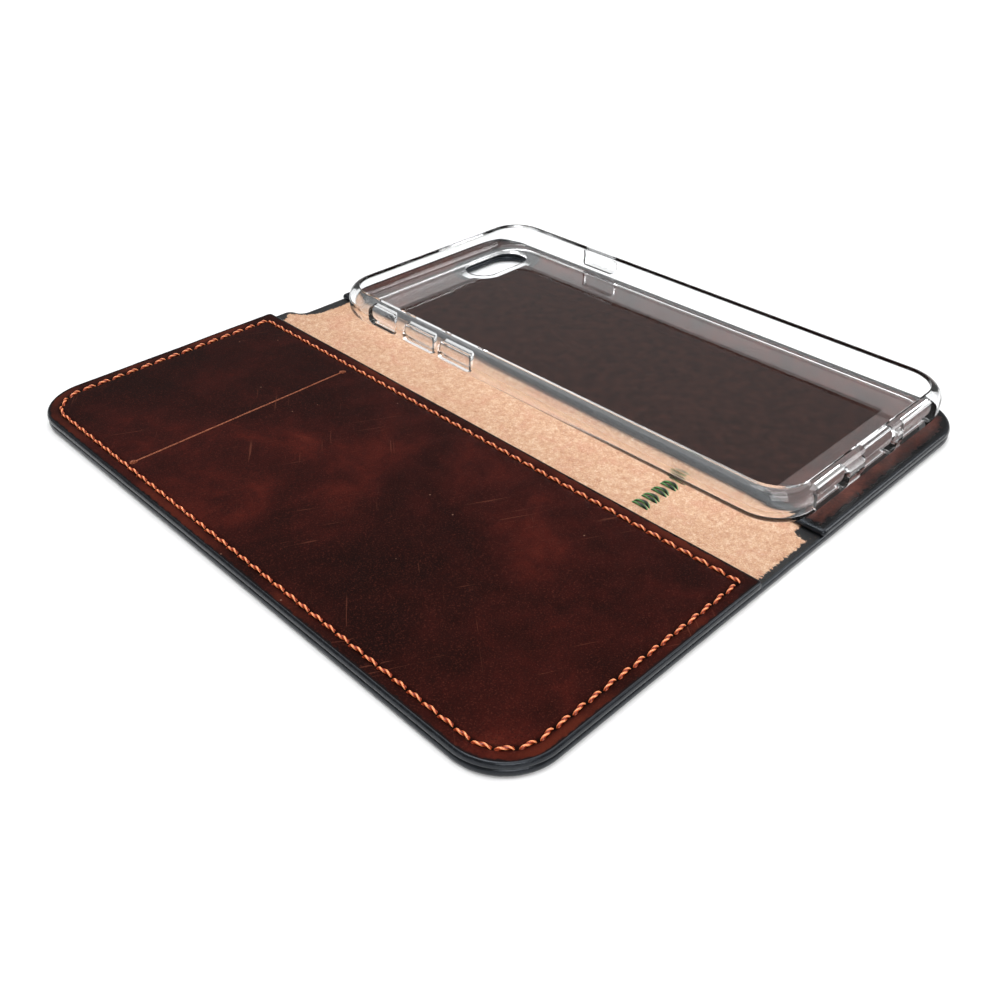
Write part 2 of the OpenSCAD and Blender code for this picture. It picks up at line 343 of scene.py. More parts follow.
def scratches(s):
    """Thin faint marks in two directions."""
    lines = []
    for turn, seed in ((28, 0), (-52, 40)):
        streak = s.noise(s.place((0.05, 2.2, 1), turn, (seed, seed, 0)), 1.0, 2, 0.5)
        patch = s.noise(s.place(shift=(seed, 90, 0)), 0.06, 2)
        lines.append(s.math("MULTIPLY", s.step(streak, 0.68, 0.74), s.step(patch, 0.52, 0.6)))
    return s.math("MAXIMUM", *lines)


def grain_height(s):
    """Fine leather grain: soft pebbles, pores and a little unevenness."""
    pebbles = s.cells(s.place(), 1.9, "SMOOTH_F1")
    pits = s.step(s.cells(s.place(shift=(5, 5, 5)), 1.5), 0.0, 0.22)
    fine = s.noise(s.place(), 5.0, 3, 0.6)
    height = s.math("MULTIPLY_ADD", pebbles, 0.6, s.math("MULTIPLY", pits, 0.35))
    return s.math("MULTIPLY_ADD", fine, 0.35, height)


def hide_tones(s):
    """Dyed grain side: clouds from near black to red brown, with speckles and pores."""
    # Painted light falloff: the tone drops as Y grows, so the grain side is painted lighter towards
    # the bottom edge and darker towards the top.
    along = s.add("SeparateXYZ", {0: s.place()}).outputs[1]
    tone = s.math("MULTIPLY_ADD", along, -0.0006, mottle(s, 0.022, 0.10))
    colour = s.ramp(
        tone,
        [
            (0.36, (0.0060, 0.0013, 0.0012)),
            (0.46, (0.0125, 0.0019, 0.0016)),
            (0.55, (0.0235, 0.0032, 0.0025)),
            (0.64, (0.0450, 0.0058, 0.0038)),
            (0.74, (0.0850, 0.0140, 0.0080)),
        ],
    )
    speckle = s.noise(s.place(), 3.2, 5, 0.75)
    colour = s.mix(s.step(speckle, 0.52, 0.66, 0.0, 0.6), colour, (0.085, 0.0200, 0.0130))
    pores = s.noise(s.place(shift=(2, 8, 0)), 2.4, 5, 0.8)
    return s.mix(s.step(pores, 0.50, 0.64, 0.0, 0.6), colour, (0.0060, 0.0018, 0.0017))


def wear_dust_and_painted_shade(s, colour):
    """Rubbed redder rims, painted shade along the seam's trough, a painted shadow in each stitch
    hole and a few specks of dust.
    """
    dim = s.noise(s.place(shift=(60, 3, 0)), 0.045, 3, 0.6)
    near_edge = s.step(s.attribute("edge"), 3.2, 1.6)
    rim = s.math("MULTIPLY", near_edge, s.step(dim, 0.42, 0.62, 0.0, 0.6))
    colour = s.mix(rim, colour, (0.085, 0.0150, 0.0070))
    # Painted shade: the colour darkens within about a millimetre of the seam line, in its trough.
    seam_shade = s.step(s.attribute("seam"), 0.9, 0.3, 0.0, 0.6)
    colour = s.mix(seam_shade, colour, (0.010, 0.0028, 0.0024))
    # Painted shadow: the colour goes nearly black in and around each stitch hole.
    hole_shadow = s.step(s.attribute("hole"), 0.75, 0.3, 0.0, 0.97)
    colour = s.mix(hole_shadow, colour, (0.0015, 0.0010, 0.0010))
    dust = s.cells(s.place(), 0.16)
    return s.mix(s.step(dust, 0.035, 0.02, 0.0, 0.5), colour, (0.32, 0.17, 0.12))


def hide_grain():
    """Burnished oxblood-brown grain side, with black dye along its rim."""
    s = Shader("hide_grain")
    marks = scratches(s)
    colour = wear_dust_and_painted_shade(s, hide_tones(s))
    colour = s.mix(s.math("MULTIPLY", marks, 0.35), colour, (0.16, 0.05, 0.03))
    edge = black_rim(s)
    colour = s.mix(edge, colour, DYE_BLACK)
    rough = s.math("MULTIPLY_ADD", s.noise(s.place(), 0.25, 4), 0.2, 0.33)
    rough = s.math("MULTIPLY_ADD", edge, -0.15, rough)
    height = s.math("MULTIPLY_ADD", marks, -0.4, grain_height(s))
    s.finish({
        "Base Color": colour,
        "Roughness": rough,
        "Normal": s.bump(height, 0.32, 0.05),
        "Specular IOR Level": 0.05,
        "Specular Tint": (1.0, 0.42, 0.32, 1),
    })
    return s.material


def lining_grain():
    """Redder, drier grain side of the back lining."""
    s = Shader("lining_grain")
    tone = mottle(s, 0.07, 0.8)
    colour = s.ramp(
        tone,
        [
            (0.36, (0.010, 0.0038, 0.0034)),
            (0.48, (0.030, 0.0078, 0.0056)),
            (0.60, (0.062, 0.0150, 0.0095)),
            (0.76, (0.110, 0.0320, 0.0200)),
        ],
    )
    speckle = s.noise(s.place(), 2.4, 5, 0.8)
    colour = s.mix(s.step(speckle, 0.5, 0.7, 0.0, 0.5), colour, (0.15, 0.055, 0.036))
    edge = black_rim(s, 1.6)
    s.finish({
        "Base Color": s.mix(edge, colour, DYE_BLACK),
        "Roughness": s.math("MULTIPLY_ADD", edge, -0.25, 0.5),
        "Normal": s.bump(grain_height(s), 0.5, 0.06),
        "Specular IOR Level": 0.15,
    })
    return s.material


def flesh_tones(s, fuzz):
    """Bare tan leather, warmer in patches, with dark grit and pale fluff."""
    drift = s.noise(s.place(), 0.9, 2)
    tone = s.math("MULTIPLY_ADD", drift, 0.25, s.math("MULTIPLY", fuzz, 0.3))
    colour = s.ramp(
        tone,
        [
            (0.42, (0.25, 0.105, 0.062)),
            (0.51, (0.45, 0.235, 0.135)),
            (0.59, (0.55, 0.335, 0.205)),
            (0.70, (0.72, 0.540, 0.390)),
        ],
    )
    blush = s.noise(s.place(), 0.13, 5, 0.65, 0.8)
    colour = s.mix(s.step(blush, 0.48, 0.66, 0.0, 0.5), colour, (0.50, 0.235, 0.150))
    grit = s.noise(s.place((1, 1.6, 1), 15), 3.4, 4, 0.85)
    colour = s.mix(s.step(grit, 0.52, 0.60, 0.0, 0.7), colour, (0.25, 0.085, 0.050))
    fluff = s.noise(s.place((1.8, 1, 1), -20, (9, 9, 0)), 3.0, 4, 0.85)
    return s.mix(s.step(fluff, 0.54, 0.64, 0.0, 0.6), colour, (0.86, 0.74, 0.62))


def hide_flesh():
    """Bare tan flesh side: short fibres, with black dye that ran in from the edges."""
    s = Shader("hide_flesh")
    fibres = [s.noise(s.place((0.7, 2.6, 1), turn), 1.5, 6, 0.72, 1.2) for turn in (20, -48, 85)]
    fuzz = s.math("ADD", s.math("ADD", fibres[0], fibres[1]), fibres[2])
    colour = flesh_tones(s, fuzz)
    streaks = s.noise(s.place((0.5, 4.0, 1), 30), 2.0, 5, 0.8, 2.0)
    dark_fibres = s.step(streaks, 0.60, 0.72)
    colour = s.mix(s.math("MULTIPLY", dark_fibres, 0.3), colour, (0.26, 0.10, 0.062))
    ragged = s.noise(s.place((1.3, 0.55, 1)), 1.1, 5, 0.7, 0.8)
    shift = s.math("SUBTRACT", ragged, 0.5)
    dyed = s.step(s.math("MULTIPLY_ADD", shift, 3.2, s.attribute("dye")), -0.06, 0.06)
    colour = s.mix(dyed, colour, (0.0055, 0.0055, 0.0065))
    height = s.math("MULTIPLY_ADD", dark_fibres, -0.3, fuzz)
    s.finish({
        "Base Color": colour,
        "Roughness": s.math("MULTIPLY_ADD", dyed, -0.38, 0.85),
        "Normal": s.bump(height, 0.55, 0.12),
        "Specular IOR Level": 0.3,
    })
    return s.material


def raw_cut():
    """Orange-tan cut edge of the card slot."""
    s = Shader("raw_cut")
    tone = s.noise(s.place(), 3.0, 4, 0.7)
    colour = s.ramp(tone, [(0.35, (0.16, 0.035, 0.015)), (0.65, (0.48, 0.17, 0.085))])
    s.finish({"Base Color": colour, "Roughness": 0.6, "Normal": s.bump(tone, 0.4, 0.05)})
    return s.material


def thread(name, dark, light, glint):
    """Waxed twisted thread, with painted shade between the strands and a painted highlight where
    their crowns stand out.
    """
    s = Shader(name)
    fibre = s.noise(s.place(), 6.0, 5, 0.7)
    # Painted light: the tone rises with the crown, so the ramp paints shade (dark) between the
    # strands and a glint highlight on top.
    tone = s.math("MULTIPLY_ADD", fibre, 0.6, s.math("MULTIPLY", s.attribute("crown"), 0.55))
    colour = s.ramp(tone, [(0.30, dark), (0.60, light), (0.86, glint)])
    s.finish({
        "Base Color": colour,
        "Roughness": 0.3,
        "Normal": s.bump(fibre, 0.4, 0.04),
        "Specular IOR Level": 0.4,
    })
    return s.material


def clear_tpu():
    """Clear soft plastic; light from the lamps goes straight through it to the leather."""
    s = Shader("clear_tpu")
    ripple = s.noise(s.place(), 0.25, 2)
    surface = s.add(
        "BsdfPrincipled",
        {
            "Base Color": (0.955, 0.965, 0.97, 1),
            "Roughness": 0.045,
            "IOR": 1.46,
            "Transmission Weight": 1.0,
            "Normal": s.bump(ripple, 0.06, 0.2),
        },
    )
    clear = s.add("BsdfTransparent", {"Color": (0.90, 0.91, 0.92, 1)})
    in_shadow = s.add("LightPath", {}).outputs["Is Shadow Ray"]
    mixed = s.add("MixShader", {0: in_shadow, 1: surface.outputs[0], 2: clear.outputs[0]})
    s.add("OutputMaterial", {"Surface": mixed.outputs[0]})
    return s.material


def adhesive():
    """Thin double-sided film: the leather looks darker and wet through it."""
    s = Shader("adhesive_film")
    tone = s.noise(s.place(), 0.4, 4, 0.6)
    colour = s.ramp(tone, [(0.35, (0.030, 0.010, 0.007)), (0.7, (0.065, 0.021, 0.014))])
    s.finish({"Base Color": colour, "Roughness": 0.25, "Normal": s.bump(tone, 0.2, 0.1)})
    return s.material


# ---- Outlines: rows of x, y and the normal that points into the material ----


def line(p, q, step=1.0):
    """Points from p up to q, without q."""
    p, q = np.array(p, float), np.array(q, float)
    run = q - p
    length = np.linalg.norm(run)
    n = max(1, round(length / step))
    share = np.arange(n)[:, None] / n
    normal = np.array([-run[1], run[0]]) / length
    return np.hstack([p + run * share, np.tile(normal, (n, 1))])


def arc(centre, r, a0, a1, step=1.0):
    """Points along an arc from angle a0 up to a1, without its end."""
    n = max(3, math.ceil(abs(math.radians(a1 - a0)) * r / min(step, 0.4 * r)))
    a = np.radians(a0 + (a1 - a0) * np.arange(n) / n)
    out = np.stack([np.cos(a), np.sin(a)], 1)
    return np.hstack([np.array(centre) + r * out, out if a1 < a0 else -out])


def rounded_rect(x0, x1, y0, y1, r_left, r_right):
    """Anticlockwise outline with one corner radius at each side."""
    return np.vstack([
        line((x0 + r_left, y0), (x1 - r_right, y0)),
        arc((x1 - r_right, y0 + r_right), r_right, -90, 0),
        line((x1, y0 + r_right), (x1, y1 - r_right)),
        arc((x1 - r_right, y1 - r_right), r_right, 0, 90),
        line((x1 - r_right, y1), (x0 + r_left, y1)),
        arc((x0 + r_left, y1 - r_left), r_left, 90, 180),
        line((x0, y1 - r_left), (x0, y0 + r_left)),
        arc((x0 + r_left, y0 + r_left), r_left, 180, 270),
    ])


def hide_outline():
    """The outer hide, with points at the places where it is cut into pieces."""
    r = CORNER_R
    low = [(x, BOTTOM) for x in (LEFT + r, -BEND_OUT, BEND_IN, BEND_OUT, RIGHT - r)]
    high = [(RIGHT - r, BACK_TOP), (BEND_OUT, BACK_TOP), (STEP_X1, BACK_TOP)]
    far = [(STEP_X0, FRONT_TOP), (-BEND_OUT, FRONT_TOP), (LEFT + r, FRONT_TOP)]
    lean = math.degrees(math.asin((STEP_R - STEP_H / 2) / STEP_R))
    return np.vstack(
        [line(p, q) for p, q in zip(low, low[1:])]
        + [arc((RIGHT - r, BOTTOM + r), r, -90, 0)]
        + [line((RIGHT, BOTTOM + r), (RIGHT, BACK_TOP - r))]
        + [arc((RIGHT - r, BACK_TOP - r), r, 0, 90)]
        + [line(p, q) for p, q in zip(high, high[1:])]
        + [arc((STEP_X1, BACK_TOP + STEP_R), STEP_R, 270, 180 + lean, 0.3)]
        + [arc((STEP_X0, FRONT_TOP - STEP_R), STEP_R, lean, 90, 0.3)]
        + [line(p, q) for p, q in zip(far, far[1:])]
        + [arc((LEFT + r, FRONT_TOP - r), r, 90, 180)]
        + [line((LEFT, FRONT_TOP - r), (LEFT, BOTTOM + r))]
        + [arc((LEFT + r, BOTTOM + r), r, 180, 270)]
    )


def window_hole():
    """Clockwise camera window with round ends."""
    r, h = WINDOW_D / 2, WINDOW_RUN / 2
    x, y = WINDOW_X, WINDOW_Y
    return np.vstack([
        line((x - h, y + r), (x + h, y + r)),
        arc((x + h, y), r, 90, -90),
        line((x + h, y - r), (x - h, y - r)),
        arc((x - h, y), r, -90, -270),
    ])


def slot_hole():
    """Clockwise card slot with its end holes."""
    half_w, end_r = SLOT_HALF_W, SLOT_END_R
    a = math.degrees(math.asin(half_w / end_r))
    run = end_r * math.cos(math.radians(a))
    x0, x1, y = SLOT_X0, SLOT_X1, SLOT_Y
    return np.vstack([
        line((x0 + run, y + half_w), (x1 - run, y + half_w)),
        arc((x1, y), end_r, 180 - a, -180 + a),
        line((x1 - run, y - half_w), (x0 + run, y - half_w)),
        arc((x0, y), end_r, -a, -360 + a),
    ])


# ---- The seam and its stitches ----


def seam_marks():
    """Distance along the seam at the end of each of its sides and corners."""
    side = SEAM_X1 - SEAM_X0 - SEAM_R
    corner = SEAM_R * math.pi / 2
    long_side = SEAM_Y1 - SEAM_Y0 - 2 * SEAM_R
    return np.cumsum([side, corner, long_side, corner, side, SEAM_Y1 - SEAM_Y0])


SEAM_MARKS = seam_marks()


def seam_corner(s, y, a0):
    """Point and direction in a round corner of the seam, at distance s from its start."""
    a = a0 + math.degrees(s / SEAM_R)
    turn = math.radians(a)
    return SEAM_X0 + SEAM_R + SEAM_R * math.cos(turn), y + SEAM_R * math.sin(turn), a + 90.0


def seam_at(s):
    """Point on the seam and its direction in degrees, at distance s from its start.

    The seam starts at the spine's top corner and goes round the pocket anticlockwise.
    """
    m = SEAM_MARKS
    if s < m[0]:
        return SEAM_X1 - s, SEAM_Y1, 180.0
    if s < m[1]:
        return seam_corner(s - m[0], SEAM_Y1 - SEAM_R, 90)
    if s < m[2]:
        return SEAM_X0, SEAM_Y1 - SEAM_R - (s - m[1]), 270.0
    if s < m[3]:
        return seam_corner(s - m[2], SEAM_Y0 + SEAM_R, 180)
    if s < m[4]:
        return SEAM_X0 + SEAM_R + s - m[3], SEAM_Y0, 0.0
    return SEAM_X1, SEAM_Y0 + s - m[4], 90.0


SEAM_PITCH = SEAM_MARKS[-1] / SEAM_COUNT
SEAM_END = SEAM_MARKS[-1] - 0.01
SEAM_HOLES = [seam_at(min(i * SEAM_PITCH, SEAM_END)) for i in range(SEAM_COUNT + 1)]


def seam_distance(xy):
    """Distance of each point from the line of the seam."""
    centre = np.array([(SEAM_X0 + SEAM_X1) / 2, (SEAM_Y0 + SEAM_Y1) / 2])
    half = np.array([(SEAM_X1 - SEAM_X0) / 2, (SEAM_Y1 - SEAM_Y0) / 2])
    p = xy - centre
    r = np.where(p[:, 0] < 0, SEAM_R, 0.0)
    q = np.abs(p) - half + r[:, None]
    outside = np.linalg.norm(np.maximum(q, 0), axis=1)
    return np.abs(outside + np.minimum(q.max(axis=1), 0) - r)


def hole_distance(xy):
    """Distance of each point from the nearest stitch hole, up to a limit."""
    reach = 2.0
    tree = kdtree.KDTree(len(SEAM_HOLES))
    for i, (x, y, _) in enumerate(SEAM_HOLES):
        tree.insert((x, y, 0), i)
    tree.balance()
    near = seam_distance(xy) < reach
    found = np.full(len(xy), reach)
    for i in np.nonzero(near)[0]:
        found[i] = min(reach, tree.find((xy[i, 0], xy[i, 1], 0))[2])
    return found


def seam_dip(xy, depth, hole_depth):
    """How far the seam pulls the leather in: a soft trough with a pit at each hole."""
    trough_r, hole_r = 0.62, 0.42
    trough = depth * np.exp(-((seam_distance(xy) / trough_r) ** 2))
    return trough + hole_depth * np.exp(-((hole_distance(xy) / hole_r) ** 2))


def seam_rows():
    """Mesh points along the seam, dense enough for the trough and the pits."""
    rows = []
    per_pitch = 6
    across = (-1.3, -0.9, -0.6, -0.3, 0, 0.3, 0.6, 0.9, 1.3)
    for i in range(SEAM_COUNT * per_pitch):
        x, y, a = seam_at((i + 0.5) * SEAM_PITCH / per_pitch)
        out = np.array([math.sin(math.radians(a)), -math.cos(math.radians(a))])
        rows += [np.array([x, y]) + d * out for d in across]
    return np.array(rows)


# ---- Leather sheets ----


# Steps round a rounded edge, from its middle to the flat face
EDGE_TURNS = [math.radians(a) for a in (0, 18, 36, 54, 72, 90)]

# Two coordinates this near are the same place
SAME_PLACE = 1e-6


def inside(points, loops):
    """Which points lie inside the outlines, by the even-odd rule."""
    count = np.zeros(len(points), int)
    x, y = points[:, 0], points[:, 1]
    for loop in loops:
        ax, ay = loop[:, 0], loop[:, 1]
        bx, by = np.roll(ax, -1), np.roll(ay, -1)
        for x0, y0, x1, y1 in zip(ax, ay, bx, by):
            if y0 == y1:
                continue
            crosses = (y0 > y) != (y1 > y)
            count += crosses & (x < (x1 - x0) * (y - y0) / (y1 - y0) + x0)
    return count % 2 == 1


def distance_to(points, loops, reach=14.0):
    """Distance of each point from the nearest outline, up to reach."""
    best = np.full(len(points), reach)
    for loop in loops:
        a = loop[:, :2]
        d = np.roll(a, -1, axis=0) - a
        for start, run in zip(a, d):
            rel = points - start
            t = np.clip(rel @ run / (run @ run), 0, 1)
            best = np.minimum(best, np.linalg.norm(rel - t[:, None] * run, axis=1))
    return best


def grid(x0, x1, y0, y1, dx, dy):
    """Staggered rows of points."""
    rows = []
    for i, y in enumerate(np.arange(y0, y1, dy)):
        xs = np.arange(x0 + (i % 2) * dx / 2, x1, dx)
        rows.append(np.stack([xs, np.full(len(xs), y)], 1))
    return np.vstack(rows)


def rim_points(outlines, depths):
    """Points that follow each outline, at the given depths inside it."""
    return np.vstack([p[:, :2] + p[:, 2:] * d for p in outlines for d in depths])


def edge_rings(outlines):
    """Rings that round off each edge: points, shares of the height, faces and innermost borders."""
    rings, shares, faces, borders = [], [], [], []
    base = 0
    for path, r in outlines:
        n = len(path)
        i = np.arange(n)
        j = (i + 1) % n
        for turn in EDGE_TURNS:
            rings.append(path[:, :2] + path[:, 2:] * r * (1 - math.cos(turn)))
            shares.append(np.full(n, math.sin(turn)))
        last = base + (len(EDGE_TURNS) - 1) * n
        for a in range(base, last, n):
            faces += np.stack([a + i, a + j, a + n + j, a + n + i], 1).tolist()
        borders.append(np.stack([last + i, last + j], 1))
        base = last + n
    return np.vstack(rings), np.concatenate(shares), faces, borders


def cut_row(flat, border, x, first):
    """Points across the sheet at a cut, numbered from first, and the edges that tie them in."""
    ends = [e for e in border[:, 0] if abs(flat[e, 0] - x) < SAME_PLACE]
    low, high = sorted(ends, key=lambda e: flat[e, 1])
    row = line(flat[low], flat[high])[1:, :2]
    chain = [low, *range(first, first + len(row)), high]
    return row, np.stack([chain[:-1], chain[1:]], 1)


def fill(flat, edges, loops):
    """Triangles between the points inside the loops, all facing up."""
    made = delaunay_2d_cdt([Vector(p) for p in flat], edges.tolist(), [], 0, 1e-5, True)
    corners, origin = made[2], made[3]
    first = {i: o[0] for i, o in enumerate(origin) if o}
    tris = np.array([[first[i] for i in t] for t in corners if all(i in first for i in t)])
    tris = tris[inside(flat[tris].mean(axis=1), loops)]
    a, b, c = (flat[tris[:, i]] for i in range(3))
    area = (b[:, 0] - a[:, 0]) * (c[:, 1] - a[:, 1]) - (b[:, 1] - a[:, 1]) * (c[:, 0] - a[:, 0])
    tris[area < 0] = tris[area < 0][:, ::-1]
    return tris[np.abs(area) > 1e-9].tolist()


def sheet_plan(outlines, points, cuts=()):
    """Flat plan of a sheet: rings inside each outline and triangles between them.

    An outline comes with the radius of its rounded edge. Returns the points,
    each one's share of the full height, and the faces.
    """
    flat, share, faces, borders = edge_rings(outlines)
    loops = [flat[border[:, 0]] for border in borders]
    keep = inside(points, loops) & (distance_to(points, loops, 1.0) > 0.12)
    for x in cuts:
        keep &= np.abs(points[:, 0] - x) > 0.2
    border = np.vstack(borders)
    edges, extra = [border], [points[keep]]
    for x in cuts:
        first = len(flat) + sum(len(rows) for rows in extra)
        row, chain = cut_row(flat, border, x, first)
        extra.append(row)
        edges.append(chain)
    flat = np.vstack([flat, *extra])
    faces += fill(flat, np.vstack(edges), loops)
    share = np.concatenate([share, np.ones(len(flat) - len(share))])
    return flat, share, faces


class Solid:
    """A closed sheet from a flat plan and the heights of its top, bottom and edge.

    co and faces are its points and faces, plan is each point's number in the
    plan, low is the number of the point under each point of the plan, and
    is_top says which faces look up.
    """

    def __init__(self, flat, share, faces, top, bottom, middle):
        split = share > 1e-9
        upper = np.column_stack([flat, middle + (top - middle) * share])
        lower = np.column_stack([flat, middle + (bottom - middle) * share])
        self.co = np.vstack([upper, lower[split]])
        self.plan = np.concatenate([np.arange(len(flat)), np.nonzero(split)[0]])
        self.low = np.arange(len(flat))
        self.low[split] = len(flat) + np.arange(split.sum())
        under = [[int(self.low[i]) for i in reversed(f)] for f in faces]
        self.faces = [list(f) for f in faces] + under
        self.is_top = [True] * len(faces) + [False] * len(faces)

    def spread(self, **values):
        """Numbers of the plan's points, given to the points above and below."""
        return {name: value[self.plan] for name, value in values.items()}

    def near_edge(self, distance, limit):
        """Which faces lie wholly within a limit of an outline."""
        return np.array([distance[self.plan[f]].max() < limit for f in self.faces])


def make_mesh(name, co, faces, numbers, materials, face_material=None, sharp=35):
    """An object in metres from points in millimetres.

    Its points carry their rest place, in millimetres, and the given numbers.
    Edges that turn by more than sharp degrees stay sharp.
    """
    mesh = bpy.data.meshes.new(name)
    mesh.from_pydata((np.asarray(co) * MM).tolist(), [], faces)
    for material in materials:
        mesh.materials.append(material)
    if face_material is not None:
        mesh.polygons.foreach_set("material_index", np.asarray(face_material, np.int32))
    rest = mesh.attributes.new("rest", "FLOAT_VECTOR", "POINT")
    rest.data.foreach_set("vector", np.asarray(co, np.float32).ravel())
    for key, values in numbers.items():
        attribute = mesh.attributes.new(key, "FLOAT", "POINT")
        attribute.data.foreach_set("value", np.asarray(values, np.float32))
    mesh.validate()
    mesh.shade_smooth()
    mesh.set_sharp_from_angle(angle=math.radians(sharp))
    obj = bpy.data.objects.new(name, mesh)
    bpy.context.scene.collection.objects.link(obj)
    return obj


def waves(xy, size, height, seed):
    """Gentle unevenness of a sheet, the same on every run."""
    places = (Vector((x / size, y / size, seed)) for x, y in xy)
    return height * np.array([noise.fractal(place, 0.8, 2.0, 3) for place in places])


# ---- The outer hide ----


def dye_depth(flat, edge):
    """How deep, in millimetres, each point of the flesh side lies inside the black dye.

    The dye is a band along the edges, even at the bottom and uneven at the top,
    with a round stain by the panel's top corner and an oval one near the bottom.
    """
    x, y = flat[:, 0], flat[:, 1]
    band = np.where(y < 0, 2.0, np.interp(x, [-4, -1, 3, 9], [2.0, 1.3, 3.4, 3.7]))
    dye = band - edge
    corner = 3.2 - np.hypot(x + 6.8, y - FRONT_TOP + 0.5)
    patch = 2.2 - np.hypot((x - 12.8) / 1.3, y - BOTTOM - 3.4)
    return np.maximum(np.maximum(dye, corner), patch)


def hide_points(outlines):
    """Points of the hide: dense at the spine, at the edges and along the seam."""
    spine_x, cover_x = 9.5, 10
    spine = grid(-spine_x, spine_x, BOTTOM, FRONT_TOP, 0.55, 1.3)
    covers = grid(LEFT, RIGHT, BOTTOM, FRONT_TOP, 2.4, 2.4)
    covers = covers[np.abs(covers[:, 0]) > cover_x]
    rim = rim_points(outlines, (1.3, 2.0, 3.0, 4.2))
    return np.vstack([spine, covers, rim, seam_rows()])


def build_hide(grain, flesh, black):
    """The outer hide in four pieces: two covers and the two halves of the bending spine.

    Its upper face shows bare flesh at the spine, and its lower face is the grain
    side, with a seam at the front cover.
    """
    outlines = [hide_outline(), window_hole()]
    cuts = (-BEND_OUT, BEND_IN, BEND_OUT)
    rounded = [(p, HIDE_EDGE_R) for p in outlines]
    flat, share, faces = sheet_plan(rounded, hide_points(outlines), cuts)
    edge = distance_to(flat, outlines)
    x = flat[:, 0]
    bare = np.clip((x + 7.6) * (13 - x) / 4, 0, 1)
    top = HIDE_T + waves(flat, size=9, height=0.07, seed=2.0) * bare
    bottom = seam_dip(flat, depth=0.38, hole_depth=0.3)
    whole = Solid(flat, share, faces, top, bottom, HIDE_T / 2)
    numbers = whole.spread(
        edge=edge,
        seam=seam_distance(flat),
        hole=hole_distance(flat),
        dye=dye_depth(flat, edge),
    )
    is_edge = whole.near_edge(edge, HIDE_EDGE_R + EDGE_SLACK)
    kinds = np.where(is_edge, 2, np.where(whole.is_top, 0, 1))
    dress = (numbers, (flesh, grain, black), kinds)
    parts = (
        ("hide_front", LEFT - 1, -BEND_OUT),
        ("hide_spine_front", -BEND_OUT, BEND_IN),
        ("hide_spine_back", BEND_IN, BEND_OUT),
        ("hide_back", BEND_OUT, RIGHT + 1),
    )
    return {name: hide_part(name, x0, x1, whole, *dress) for name, x0, x1 in parts}


def hide_part(name, x0, x1, whole, numbers, materials, kinds):
    """One piece of the hide between two cuts, closed at each cut.

    kinds says which of the materials each face of the whole hide has; the
    closing faces have the first.
    """
    co = whole.co
    faces, part_kinds = [], []
    for face, kind in zip(whole.faces, kinds):
        if x0 < sum(co[i, 0] for i in face) / len(face) < x1:
            faces.append(face)
            part_kinds.append(kind)
    for cut, side in ((x0, -1), (x1, 1)):
        wall = cut_wall(whole, cut, side)
        faces += wall
        part_kinds += [0] * len(wall)
    used = sorted({i for f in faces for i in f})
    number = {old: new for new, old in enumerate(used)}
    faces = [[number[i] for i in f] for f in faces]
    numbers = {key: values[used] for key, values in numbers.items()}
    return make_mesh(name, co[used], faces, numbers, materials, part_kinds)


def cut_wall(whole, cut, side):
    """Faces that close a piece at a cut on its left (side -1) or right (side 1)."""
    on_cut = [i for i in range(len(whole.low)) if abs(whole.co[i, 0] - cut) < SAME_PLACE]
    on_cut.sort(key=lambda i: whole.co[i, 1])
    wall = []
    for a, b in zip(on_cut, on_cut[1:]):
        loop = list(dict.fromkeys([int(whole.low[a]), int(whole.low[b]), b, a]))
        wall.append(loop if side > 0 else loop[::-1])
    return wall


# ---- Pocket panel and back lining ----


def build_panel(grain, cut, black):
    """The pocket panel: rounded edges, a pulled-in seam and the card slot."""
    outlines = [rounded_rect(LEFT, PANEL_RIGHT, BOTTOM, FRONT_TOP, CORNER_R, 1.2), slot_hole()]
    field = grid(LEFT, PANEL_RIGHT, BOTTOM, FRONT_TOP, 1.9, 1.9)
    points = np.vstack([field, rim_points(outlines, (0.8, 1.2, 1.8)), seam_rows()])
    rounded = list(zip(outlines, (PANEL_EDGE_R, SLOT_EDGE_R)))
    flat, share, faces = sheet_plan(rounded, points)
    edge = distance_to(flat, outlines[:1])
    slit = distance_to(flat, outlines[1:], 6.0)
    lip_height, lip_r = 0.16, 1.6
    side_share = np.where(flat[:, 1] < SLOT_Y, 1.0, 0.35)
    lift = lip_height * np.exp(-((slit / lip_r) ** 2)) * side_share
    top = PANEL_TOP + waves(flat, size=24, height=0.10, seed=5.0) + lift
    top = top - seam_dip(flat, depth=0.36, hole_depth=0.3)
    bottom = np.full(len(flat), HIDE_T)
    whole = Solid(flat, share, faces, top, bottom, LAYER_MIDDLE)
    numbers = whole.spread(edge=edge, seam=seam_distance(flat), hole=hole_distance(flat))
    is_cut = whole.near_edge(slit, SLOT_EDGE_R - EDGE_SLACK)
    is_edge = whole.near_edge(edge, PANEL_EDGE_R + EDGE_SLACK)
    kinds = np.where(is_edge, 2, np.where(is_cut, 1, 0))
    materials = (grain, cut, black)
    return make_mesh("pocket_leather", whole.co, whole.faces, numbers, materials, kinds)


def build_lining(lining, black):
    """The back lining under the shell."""
    outlines = [rounded_rect(LINING_LEFT, RIGHT, BOTTOM, BACK_TOP, 1.0, CORNER_R), window_hole()]
    field = grid(LINING_LEFT, RIGHT, BOTTOM, BACK_TOP, 2.4, 2.4)
    points = np.vstack([field, rim_points(outlines, (1.2, 2.0, 3.0))])
    flat, share, faces = sheet_plan([(p, LINING_EDGE_R) for p in outlines], points)
    edge = distance_to(flat, outlines)
    top = np.full(len(flat), LINING_TOP) + waves(flat, size=12, height=0.03, seed=9.0)
    bottom = np.full(len(flat), HIDE_T)
    whole = Solid(flat, share, faces, top, bottom, LAYER_MIDDLE)
    kinds = whole.near_edge(edge, LINING_EDGE_R + EDGE_SLACK).astype(int)
    numbers = whole.spread(edge=edge)
    return make_mesh("lining_leather", whole.co, whole.faces, numbers, (lining, black), kinds)


# ---- Threads ----


# Strands in a thread, and how far they stand out of its round shape
STRANDS, LOBE = 2, 0.2


